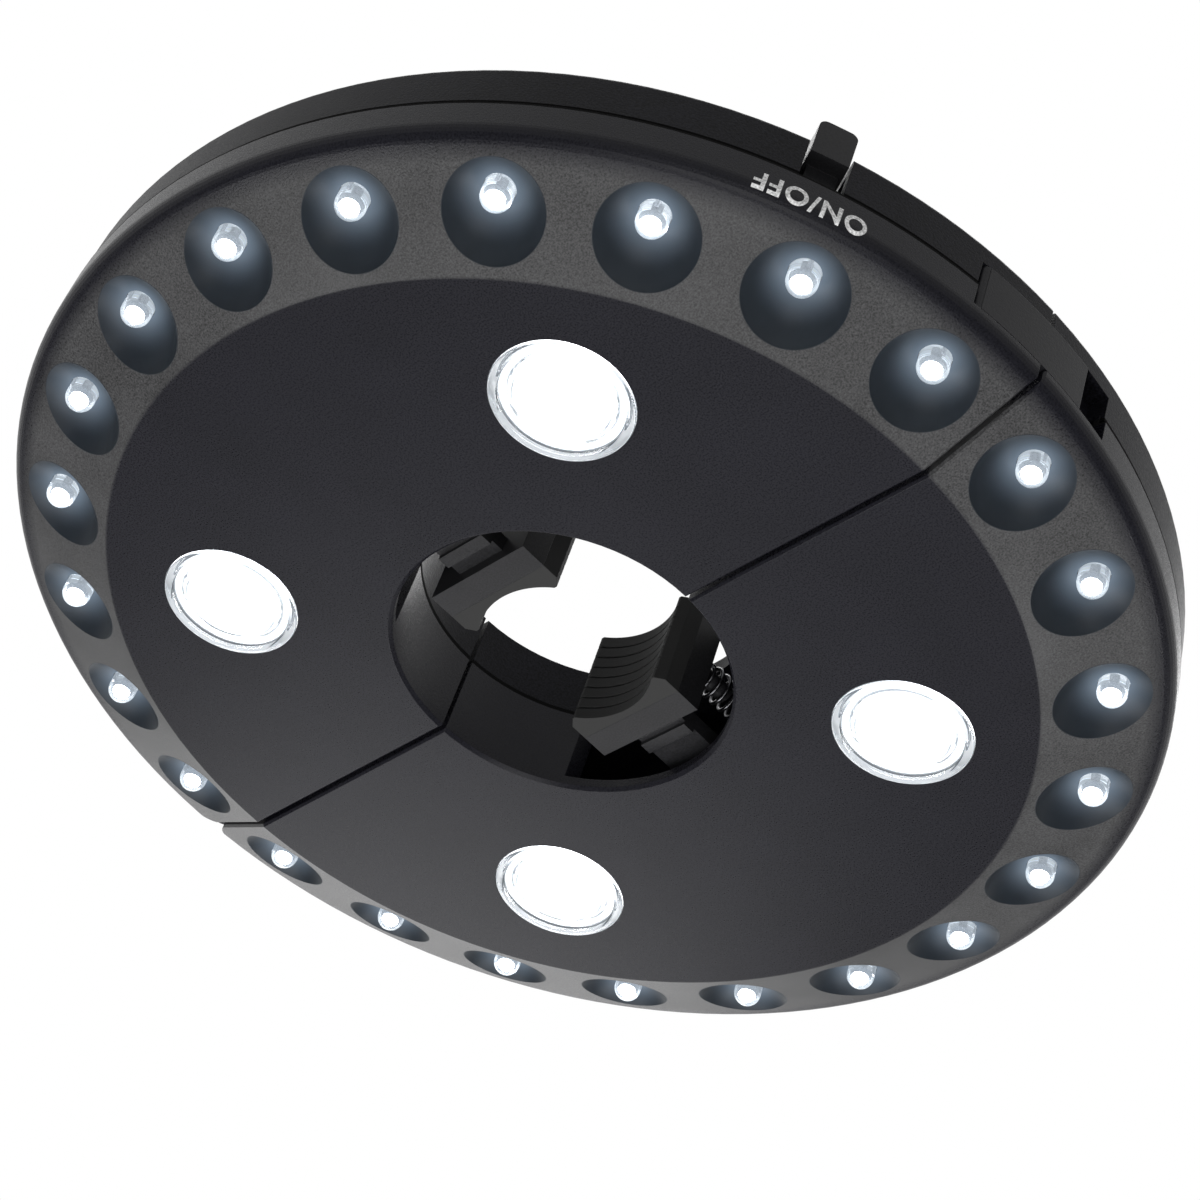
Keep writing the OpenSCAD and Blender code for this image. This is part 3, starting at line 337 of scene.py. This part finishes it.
def ring_mask(finish):
    """1 on the sloping ring, which is grained more coarsely than the flat and the wall, and painted
    lighter than the flat as painted light for the light that it catches.
    """
    x, y, z = finish.axes()
    border = DISC_R - RING_W
    out = finish.spread(finish.length(x, y), border - RING_BORDER, border + RING_BORDER, 0, 1)
    return finish.times(out, finish.spread(z, *RING_FADE_ZS, 1, 0))


def casing_plastic(name, colour, lit_ring_colour, bowl_colour):
    """The underside's grained plastic: smooth dark bowls with a painted glow for their lamps' light, a
    coarser ring painted lighter as painted light, a flat with little relief, and black painted shade
    where the parting lines lie in shadow."""
    # The emission colour is the colour of the painted glow on the bowls.
    finish = Finish(name, Specular_IOR_Level=0.13, Emission_Color=(0.6, 0.78, 1, 1))
    fine, tone = grained(finish, SHELL_GRAIN)
    x, y, z = finish.axes()
    bowls, painted_glow = bowls_and_painted_glow(finish)
    ring = ring_mask(finish)
    flat_shades = finish.shades(tone, colour, 0.7, 1.3)
    # The ring's lighter black is painted light for the light that the sloping ring catches.
    plain = finish.mix(ring, flat_shades, finish.shades(tone, lit_ring_colour, 0.4, 1.7))
    smooth = finish.shades(finish.noise(3 * MM), bowl_colour, 0.85, 1.15)
    inside = finish.spread(finish.length(x, y), *HOLE_TO_RIM, 1, 0)
    hole = finish.times(groove_shade_mask(finish, *HOLE_SHADE_BAND), inside)
    rim = finish.times(groove_shade_mask(finish, *RIM_SHADE_BAND), finish.math("SUBTRACT", 1, inside))
    groove_shade = finish.math("MAXIMUM", hole, rim)
    # Black painted shade in the bands of the parting lines, over the grained and bowl colours.
    finish.drive("Base Color", finish.mix(groove_shade, finish.mix(bowls, plain, smooth), BLACK))
    # Painted glow: emission on each bowl, strongest near its lamp, standing for the lamp's light on it.
    finish.drive("Emission Strength", finish.times(painted_glow, PAINTED_LAMP_GLOW))
    rough = finish.math("ADD", finish.spread(fine, 0.3, 0.7, 0.2, 0.4), finish.times(ring, 0.08))
    rough = finish.spread(bowls, 0, 1, rough, 0.45)
    finish.drive("Roughness", finish.spread(groove_shade, 0, 1, rough, 1))
    grain = finish.spread(z, -UNDER_H, -UNDER_H + 1 * MM, 0.1, 1)
    grain = finish.spread(finish.math("MAXIMUM", bowls, groove_shade), 0, 1, grain, 0.02)
    finish.bump(fine, 0.04 * MM, grain, finish.soft_edges(EDGE_ROUND_R))
    return finish.material


def rubber(name, colour):
    """Soft matt rubber with a dusty mottle."""
    finish = Finish(name, Specular_IOR_Level=0.2)
    fine = finish.noise(0.25 * MM, detail=4)
    finish.drive("Base Color", finish.shades(fine, colour, 0.7, 1.4))
    finish.drive("Roughness", finish.spread(fine, 0.3, 0.7, 0.7, 0.9))
    finish.bump(fine, 0.03 * MM, 0.6, finish.soft_edges(0.2 * MM))
    return finish.material


def drawn_steel(name, dark, light):
    """Plated steel, or steel painted dark, with fine drawing marks."""
    finish = Finish(name, Metallic=1.0)
    stretched = finish.node("ShaderNodeMapping")
    stretched.inputs["Scale"].default_value = (1, 1, 6)
    finish.link(finish.coords, stretched.inputs["Vector"])
    marks = finish.noise(0.3 * MM, detail=3, coords=stretched.outputs["Vector"])
    finish.drive("Base Color", finish.mix(marks, dark, light))
    finish.drive("Roughness", finish.spread(marks, 0.3, 0.7, 0.22, 0.4))
    finish.bump(marks, 0.01 * MM, 0.3)
    return finish.material


def clear_plastic(name, glow):
    """Clear moulded plastic with a faint painted glow that stands for the lamp light scattered inside
    it.
    """
    finish = Finish(
        name, Transmission_Weight=1.0, IOR=1.46,
        Emission_Color=(0.8, 0.9, 1, 1), Emission_Strength=glow,
    )
    haze = finish.noise(1.5 * MM)
    finish.drive("Base Color", finish.mix(haze, (0.95, 0.98, 1), (0.99, 0.99, 1)))
    finish.drive("Roughness", finish.spread(haze, 0.3, 0.7, 0.0, 0.04))
    finish.bump(haze, 0.02 * MM, 0.1)
    return finish.material


def glowing(name, colour, strength):
    """A glowing white surface, a little uneven: a lamp's die, or the painted light on a reflector."""
    finish = Finish(
        name, Base_Color=(0.8, 0.8, 0.8, 1), Emission_Strength=strength, Roughness=0.4
    )
    patch = finish.noise(1.2 * MM, detail=1)
    finish.drive("Emission Color", finish.shades(patch, colour, 0.9, 1.0))
    return finish.material


def circuit_board(name):
    """White lacquer over copper tracks."""
    finish = Finish(name, Coat_Weight=0.3)
    tracks = finish.node("ShaderNodeTexVoronoi", feature="DISTANCE_TO_EDGE", distance="CHEBYCHEV")
    tracks.inputs["Scale"].default_value = 1 / (3 * MM)
    finish.link(finish.coords, tracks.inputs["Vector"])
    line = finish.spread(tracks.outputs["Distance"], 0.06, 0.1, 1, 0)
    finish.drive("Base Color", finish.mix(line, (0.6, 0.63, 0.66), (0.5, 0.53, 0.55)))
    finish.drive("Roughness", finish.spread(finish.noise(1 * MM), 0.3, 0.7, 0.3, 0.45))
    finish.bump(line, 0.03 * MM, 0.5)
    return finish.material


def white_board(name):
    """White lacquered board with a faint painted glow on its lamp side for the chips' light on it; its
    four chips glow brightest, as lamps.
    """
    finish = Finish(name)
    z = finish.axes()[2]
    patch = finish.noise(2 * MM)
    finish.drive("Base Color", finish.shades(patch, (0.8, 0.8, 0.78), 0.92, 1.0))
    finish.drive("Roughness", finish.spread(patch, 0.3, 0.7, 0.35, 0.5))
    finish.drive("Emission Color", finish.shades(patch, (0.92, 0.96, 1), 0.94, 1.0))
    # Emission by height: the chips glow as lamps, the board's lamp side gets a faint painted glow for
    # the chips' light on it, its back none.
    chips_and_board_glow = finish.spread(z, FLOOD_BOARD_Z - 0.3 * MM, FLOOD_BOARD_Z - 0.1 * MM, 7, 0.42)
    top = finish.spread(z, FLOOD_BOARD_Z + 0.1 * MM, FLOOD_BOARD_Z + 0.3 * MM, 1, 0)
    finish.drive("Emission Strength", finish.times(chips_and_board_glow, top))
    return finish.material


def battery_sleeve(name):
    """Printed steel sleeve of a cell: a plain band and bare ends."""
    finish = Finish(name, Metallic=0.7)
    along = finish.math("ABSOLUTE", finish.axes()[0])
    band = finish.spread(along, 11 * MM, 11.4 * MM, 0, 1)
    end = finish.spread(along, 24 * MM, 24.3 * MM, 0, 1)
    body = finish.mix(band, (0.25, 0.28, 0.32), (0.05, 0.16, 0.3))
    finish.drive("Base Color", finish.mix(end, body, (0.6, 0.6, 0.62)))
    finish.drive("Roughness", finish.spread(finish.noise(2 * MM), 0.3, 0.7, 0.2, 0.32))
    finish.bump(finish.noise(0.5 * MM), 0.01 * MM, 0.2)
    return finish.material


def paint(names, material):
    """Gives one material to these CAD nodes."""
    for name in names:
        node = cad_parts[name]
        node.data.materials.clear()
        node.data.materials.append(material)


def both(name):
    """The two halves' nodes of one kind."""
    return [f"{name}_{side}" for side in SIDES]


def new_piece(name, build, material, body):
    """A smooth mesh piece made by build(bm), with one material, riding on a body."""
    mesh = bpy.data.meshes.new(name)
    bm = bmesh.new()
    build(bm)
    bmesh.ops.recalc_face_normals(bm, faces=bm.faces)
    bm.to_mesh(mesh)
    bm.free()
    piece = bpy.data.objects.new(name, mesh)
    bpy.context.scene.collection.objects.link(piece)
    mesh.materials.append(material)
    mesh.shade_smooth()
    mesh.set_sharp_from_angle(angle=SHARP_A)
    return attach(piece, body)


def lathe(bm, profile, place, steps):
    """Turns a profile of (radius, height) round the upright axis at a place; ends on it are closed."""
    turns = [2 * math.pi * i / steps for i in range(steps)]
    rings = []
    for r, z in profile:
        if r == 0:
            rings.append([bm.verts.new(place + Vector((0, 0, z)))])
            continue
        rings.append([
            bm.verts.new(place + Vector((r * math.cos(a), r * math.sin(a), z))) for a in turns
        ])
    for low, high in zip(rings, rings[1:]):
        for i in range(steps):
            j = (i + 1) % steps
            corners = [ring[k % len(ring)] for ring, k in ((low, i), (low, j), (high, j), (high, i))]
            bm.faces.new(list(dict.fromkeys(corners)))


def tube(bm, points, radius, sides=12):
    """A round tube along points, its ends closed."""
    ahead = [(b - a).normalized() for a, b in zip(points, points[1:])]
    ways = [ahead[0]] + [(a + b).normalized() for a, b in zip(ahead, ahead[1:])] + [ahead[-1]]
    turns = [2 * math.pi * k / sides for k in range(sides)]
    side = ways[0].orthogonal().normalized()
    rings = []
    for point, way in zip(points, ways):
        side = (side - way * side.dot(way)).normalized()
        other = way.cross(side)
        rings.append([
            bm.verts.new(point + radius * (side * math.cos(a) + other * math.sin(a))) for a in turns
        ])
    for low, high in zip(rings, rings[1:]):
        for k in range(sides):
            j = (k + 1) % sides
            bm.faces.new((low[k], low[j], high[j], high[k]))
    bm.faces.new(rings[0][::-1])
    bm.faces.new(rings[-1])


def lamp_places(side):
    """Middle of each small lamp of one half, at height zero."""
    for i in range(LAMPS):
        a = SIDES[side] * (i + 0.5) * LAMP_STEP
        yield Vector((LAMP_RING_R * math.cos(a), LAMP_RING_R * math.sin(a), 0))


def flood_places(side):
    """Middle of each flood lens of one half, at height zero."""
    for x in (-1, 1):
        yield Vector((x * FLOOD_PLACE, SIDES[side] * FLOOD_PLACE, 0))


def in_mm(profile):
    """A profile of (radius, height) in millimetres, in metres."""
    return [(r * MM, z * MM) for r, z in profile]


def lamp_insides(side, steel, light):
    """The cup and posts of each small lamp's lead frame, and the glowing die in the cup."""
    cup = in_mm([
        (0, -2.4), (0.5, -2.4), (1.15, -3.0), (1.3, -3.0), (1.3, -2.0), (0.45, -1.4), (0.45, 0.4),
        (0, 0.4),
    ])
    post = in_mm([(0, -1.6), (0.3, -1.5), (0.3, 0.4), (0, 0.4)])
    die = in_mm([(0, -4.0), (0.55, -3.85), (0.95, -3.5), (1.12, -3.05), (0.45, -2.45), (0, -2.45)])

    def build_frame(bm):
        for place in lamp_places(side):
            lathe(bm, cup, place, 16)
            lathe(bm, post, place * (1 + POST_GAP / LAMP_RING_R), 8)

    def build_die(bm):
        for place in lamp_places(side):
            lathe(bm, die, place, 16)

    new_piece(f"lamp_lead_frames_{side}", build_frame, steel, f"half_{side}")
    new_piece(f"lamp_dies_{side}", build_die, light, f"half_{side}")


def flood_lens(side, clear, white):
    """Clear lens covers, rounded at the rim and sunk in the middle, with a dome over each chip and
    white reflectors behind them, which glow faintly with painted light."""
    cover = in_mm([
        (0, -8.0), (7.6, -8.0), (7.8, -8.05), (7.9, -8.2), (7.95, -8.8), (8.05, -8.95), (8.25, -9.0),
        (10.1, -9.0), (10.25, -9.05), (10.35, -9.15), (10.5, -9.25), (10.75, -9.3),
        (11.45, -9.3), (11.65, -9.25), (11.76, -9.14), (11.8, -9.0),
        (11.8, -6.75), (11.85, -6.7), (13.0, -6.7), (13.0, -5.7), (11.2, -5.7), (11.0, -5.85),
        (10.9, -7.5), (10.7, -7.8), (10.4, -7.9), (9.2, -7.9), (9.05, -7.8), (8.95, -7.2), (8.7, -7.0),
        (0, -7.0),
    ])
    steps = 8
    turns = [math.pi / 2 * i / steps for i in range(1, steps + 1)]
    arc = [(CHIP_DOME_R * math.sin(a), FLOOD_BOARD_Z - CHIP_DOME_R * math.cos(a)) for a in turns]
    dome = [(0, FLOOD_BOARD_Z - CHIP_DOME_R)] + arc + [(0, FLOOD_BOARD_Z)]
    reflector = in_mm([(9.4, -7.75), (10.5, -7.7), (12.6, -4.75), (12.3, -4.7), (10.2, -7.5)])

    def build_covers(bm):
        for place in flood_places(side):
            lathe(bm, cover, place, 96)
            for x in (-1, 1):
                for y in (-1, 1):
                    lathe(bm, dome, place + Vector((x, y, 0)) * CHIP_PITCH / 2, 24)

    def build_reflectors(bm):
        for place in flood_places(side):
            lathe(bm, reflector + reflector[:1], place, 64)

    covers = new_piece(f"flood_covers_{side}", build_covers, clear, f"half_{side}")
    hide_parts(f"flood_lenses_{side}")
    # The reflectors glow faintly: painted light for the chips' light on them.
    new_piece(f"flood_reflectors_{side}", build_reflectors, white, f"half_{side}")


def coil(start, along, out, r0, r1, turns, length, steps=24):
    """Points of a coil whose wire ends run along its axis, from start along an axis."""
    across = along.cross(out)
    end = 3 * WIRE_R
    count = turns * steps
    points = [start + out * r0 - across * WIRE_R + along * (end * share) for share in (0, 0.6)]
    for i in range(count + 1):
        a = 2 * math.pi * i / steps
        r = r0 + (r1 - r0) * i / count
        rise = end + (length - 2 * end) * i / count
        points.append(start + (out * math.cos(a) + across * math.sin(a)) * r + along * rise)
    last = start + out * r1 + across * WIRE_R
    return points + [last + along * (length - end * share) for share in (0.6, 0)]


def jaw_springs(side, steel):
    """Smooth coil springs behind a jaw."""
    sign = SIDES[side]
    front, back = JAW_SPRING_Y

    def build(bm):
        for x in (-JAW_SPRING_X, JAW_SPRING_X):
            start = Vector((x, sign * front, JAW_SPRING_Z))
            points = coil(
                start, Vector((0, sign, 0)), Vector((1, 0, 0)), JAW_SPRING_R, JAW_SPRING_R,
                JAW_SPRING_TURNS, back - front,
            )
            tube(bm, points, WIRE_R)

    piece = new_piece(f"jaw_coils_{side}", build, steel, f"half_{side}")
    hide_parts(f"jaw_springs_{side}")
    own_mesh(piece)


def contact_springs(side, steel):
    """Smooth conical springs at the flat end of each cell."""

    def build(bm):
        for y, x in zip(CELL_YS, (-1, 1)):
            start = Vector((x * CONTACT_X, SIDES[side] * y, CELL_Z))
            points = coil(
                start, Vector((-x, 0, 0)), Vector((0, 0, 1)), *CONTACT_SPRING_R,
                CONTACT_SPRING_TURNS, CONTACT_SPRING_L,
            )
            tube(bm, points, WIRE_R)

    piece = new_piece(f"contact_coils_{side}", build, steel, f"half_{side}")
    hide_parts(f"contact_springs_{side}")


def wall_point(a, s):
    """Point of the wall at an angle, s above the rim's corner, measured along the wall's outline."""
    bend = RIM_ROUND_R / math.tan((math.pi / 2 + RING_A) / 2)
    r, z = DISC_R + MARK_T, s
    if s < bend:
        turn = (bend - s) / RIM_ROUND_R
        r = DISC_R - RIM_ROUND_R + (RIM_ROUND_R + MARK_T) * math.cos(turn)
        z = bend - (RIM_ROUND_R + MARK_T) * math.sin(turn)
    return Vector((r * math.cos(a), r * math.sin(a), z))


def switch_mark(ink):
    """ON/OFF, printed on the wall under the switch, its letters' tops towards the lamps."""
    words = bpy.data.curves.new("words", "FONT")
    words.body = "ON/OFF"
    words.offset = MARK_WEIGHT
    words.space_character = MARK_SPACING
    drawn = bpy.data.objects.new("words", words)
    bpy.context.scene.collection.objects.link(drawn)
    shaped = drawn.evaluated_get(bpy.context.evaluated_depsgraph_get())
    flat = bpy.data.meshes.new_from_object(shaped)
    bpy.data.objects.remove(drawn)
    xs = [v.co.x for v in flat.vertices]
    ys = [v.co.y for v in flat.vertices]
    left, right, low, high = min(xs), max(xs), min(ys), max(ys)

    def build(bm):
        bm.from_mesh(flat)
        bmesh.ops.remove_doubles(bm, verts=bm.verts, dist=0.0005)
        cuts = ((left, right, (1, 0, 0)), (low, high, (0, 1, 0)))
        for (start, end, way), count in zip(cuts, MARK_STRIPS):
            for i in range(1, count):
                at = Vector(way) * (start + (end - start) * i / count)
                every = bm.verts[:] + bm.edges[:] + bm.faces[:]
                bmesh.ops.bisect_plane(bm, geom=every, plane_co=at, plane_no=way)
        bmesh.ops.triangulate(bm, faces=bm.faces)
        for vert in bm.verts:
            across = (vert.co.x - left) / (right - left)
            up = (vert.co.y - low) / (high - low)
            a = MARK_AS[0] + (MARK_AS[1] - MARK_AS[0]) * across
            vert.co = wall_point(a, MARK_BASE_Z - MARK_H * up)

    new_piece("switch_mark", build, ink, "half_a")
    bpy.data.meshes.remove(flat)


def make_world():
    """Soft even light, seen as white by the camera and in reflections."""
    world = bpy.data.worlds.new("studio")
    bpy.context.scene.world = world
    world.use_nodes = True
    tree = world.node_tree
    tree.nodes.clear()
    path = tree.nodes.new("ShaderNodeLightPath")
    out = tree.nodes.new("ShaderNodeOutputWorld")
    soft = tree.nodes.new("ShaderNodeBackground")
    white = tree.nodes.new("ShaderNodeBackground")
    soft.inputs["Color"].default_value = (1, 1, 1, 1)
    soft.inputs["Strength"].default_value = SOFT_STRENGTH
    white.inputs["Color"].default_value = (1, 1, 1, 1)
    white.inputs["Strength"].default_value = 1
    sees = path.outputs["Is Camera Ray"]
    for name in ("Is Glossy Ray", "Is Transmission Ray"):
        most = tree.nodes.new("ShaderNodeMath")
        most.operation = "MAXIMUM"
        tree.links.new(sees, most.inputs[0])
        tree.links.new(path.outputs[name], most.inputs[1])
        sees = most.outputs[0]
    mix = tree.nodes.new("ShaderNodeMixShader")
    tree.links.new(sees, mix.inputs[0])
    tree.links.new(soft.outputs[0], mix.inputs[1])
    tree.links.new(white.outputs[0], mix.inputs[2])
    tree.links.new(mix.outputs[0], out.inputs["Surface"])


def make_floor():
    """A plain pale floor, far below the light."""
    mesh = bpy.data.meshes.new("floor")
    bm = bmesh.new()
    bmesh.ops.create_grid(bm, x_segments=1, y_segments=1, size=FLOOR_HALF)
    bm.to_mesh(mesh)
    bm.free()
    floor = bpy.data.objects.new("floor", mesh)
    floor.location = (0, 0, FLOOR_Z)
    bpy.context.scene.collection.objects.link(floor)
    finish = Finish("floor_paint", Roughness=0.9, Specular_IOR_Level=0.1)
    patches = finish.noise(0.4)
    finish.drive("Base Color", finish.mix(patches, (0.78, 0.78, 0.77), (0.82, 0.82, 0.81)))
    mesh.materials.append(finish.material)


def soft_box(name, place, size, power):
    """A square lamp that points at the origin."""
    data = bpy.data.lights.new(name, "AREA")
    data.size = size
    data.energy = power
    lamp = bpy.data.objects.new(name, data)
    lamp.location = place
    lamp.rotation_euler = (Vector() - Vector(place)).to_track_quat("-Z", "Y").to_euler()
    bpy.context.scene.collection.objects.link(lamp)


def light_studio():
    """Soft boxes: each one's place, its side in metres and its power in watts."""
    soft_box("from_below", (0, 0, -0.8), 0.5, 5)
    soft_box("from_hinge", (-0.40, -0.33, -0.85), 0.35, 5)
    soft_box("from_half_b", (-0.05, 0.65, -0.7), 0.35, 4.5)
    soft_box("from_front", (0.75, -0.45, -0.8), 0.6, 4.5)
    soft_box("from_horizon", (-1.06, 0.57, -0.15), 0.75, 3.5)
    soft_box("from_far_side", (-0.76, 0.44, -0.48), 0.32, 1.5)
    soft_box("from_above", (-0.35, 0.3, 0.9), 0.8, 6)


make_camera()
make_world()
make_floor()
light_studio()
bpy.context.scene.view_settings.view_transform = "Standard"

casing = casing_plastic("casing_plastic", SHELL_BLACK, RING_LIT_BLACK, BOWL_BLACK)
tongue = moulded_plastic("latch_plastic", (0.006, 0.006, 0.0075))
cover = cover_plastic("cover_plastic", COVER_BLACK)
door = moulded_plastic("door_plastic", COVER_BLACK, rough=0.3, shine=0.06)
jaw = moulded_plastic("jaw_plastic", (0.011, 0.011, 0.012), grain=0.3 * MM, depth=0.008 * MM)
pad = rubber("pad_rubber", (0.014, 0.014, 0.014))
steel = drawn_steel("plated_steel_finish", (0.36, 0.36, 0.38), (0.56, 0.57, 0.59))
# The springs' steel is painted nearly black: painted shade for the dark space behind the jaw windows.
shaded_spring_steel = drawn_steel("spring_steel_painted_shade", (0.05, 0.05, 0.055), (0.1, 0.1, 0.105))
board = circuit_board("board_lacquer")
flood_board = white_board("flood_board_lacquer")
sleeve = battery_sleeve("cell_sleeve")
# The lamps' and flood lenses' clear plastics glow faintly as painted light.
clear = clear_plastic("lamp_plastic", 0.25)
flood_clear = clear_plastic("flood_plastic", 0.08)
lamp_light = glowing("lamp_light", (0.85, 0.94, 1), 16)
# The reflectors glow faintly: painted light for the chips' light on them.
reflector = glowing("reflector_painted_glow", (0.92, 0.96, 1), 0.28)
ink = moulded_plastic("mark_ink", (0.7, 0.7, 0.7), depth=0.004 * MM, rough=0.6, shine=0.2)
wire = moulded_plastic("wire_skin", (0.35, 0.02, 0.015), grain=1 * MM, rough=0.4)

paint(both("lower_casing"), casing)
paint(["latch_tongue"], tongue)
paint(both("upper_cover"), cover)
paint(both("battery_door"), door)
paint(both("clamp_jaw") + both("hanging_hook") + ["switch_cap", "switch_body"], jaw)
paint(both("grip_pad"), pad)
paint(both("circuit_board"), board)
paint(both("flood_boards"), flood_board)
paint(both("battery_cells"), sleeve)
paint(both("small_lamps"), clear)
paint(both("lead_wires"), wire)
for kind in ("battery_contacts", "cover_screws", "board_screws", "hook_pin"):
    paint(both(kind), steel)
paint(["latch_pin", "hinge_pin"], steel)
for side in SIDES:
    lamp_insides(side, steel, lamp_light)
    flood_lens(side, flood_clear, reflector)
    jaw_springs(side, shaded_spring_steel)
    contact_springs(side, steel)
switch_mark(ink)
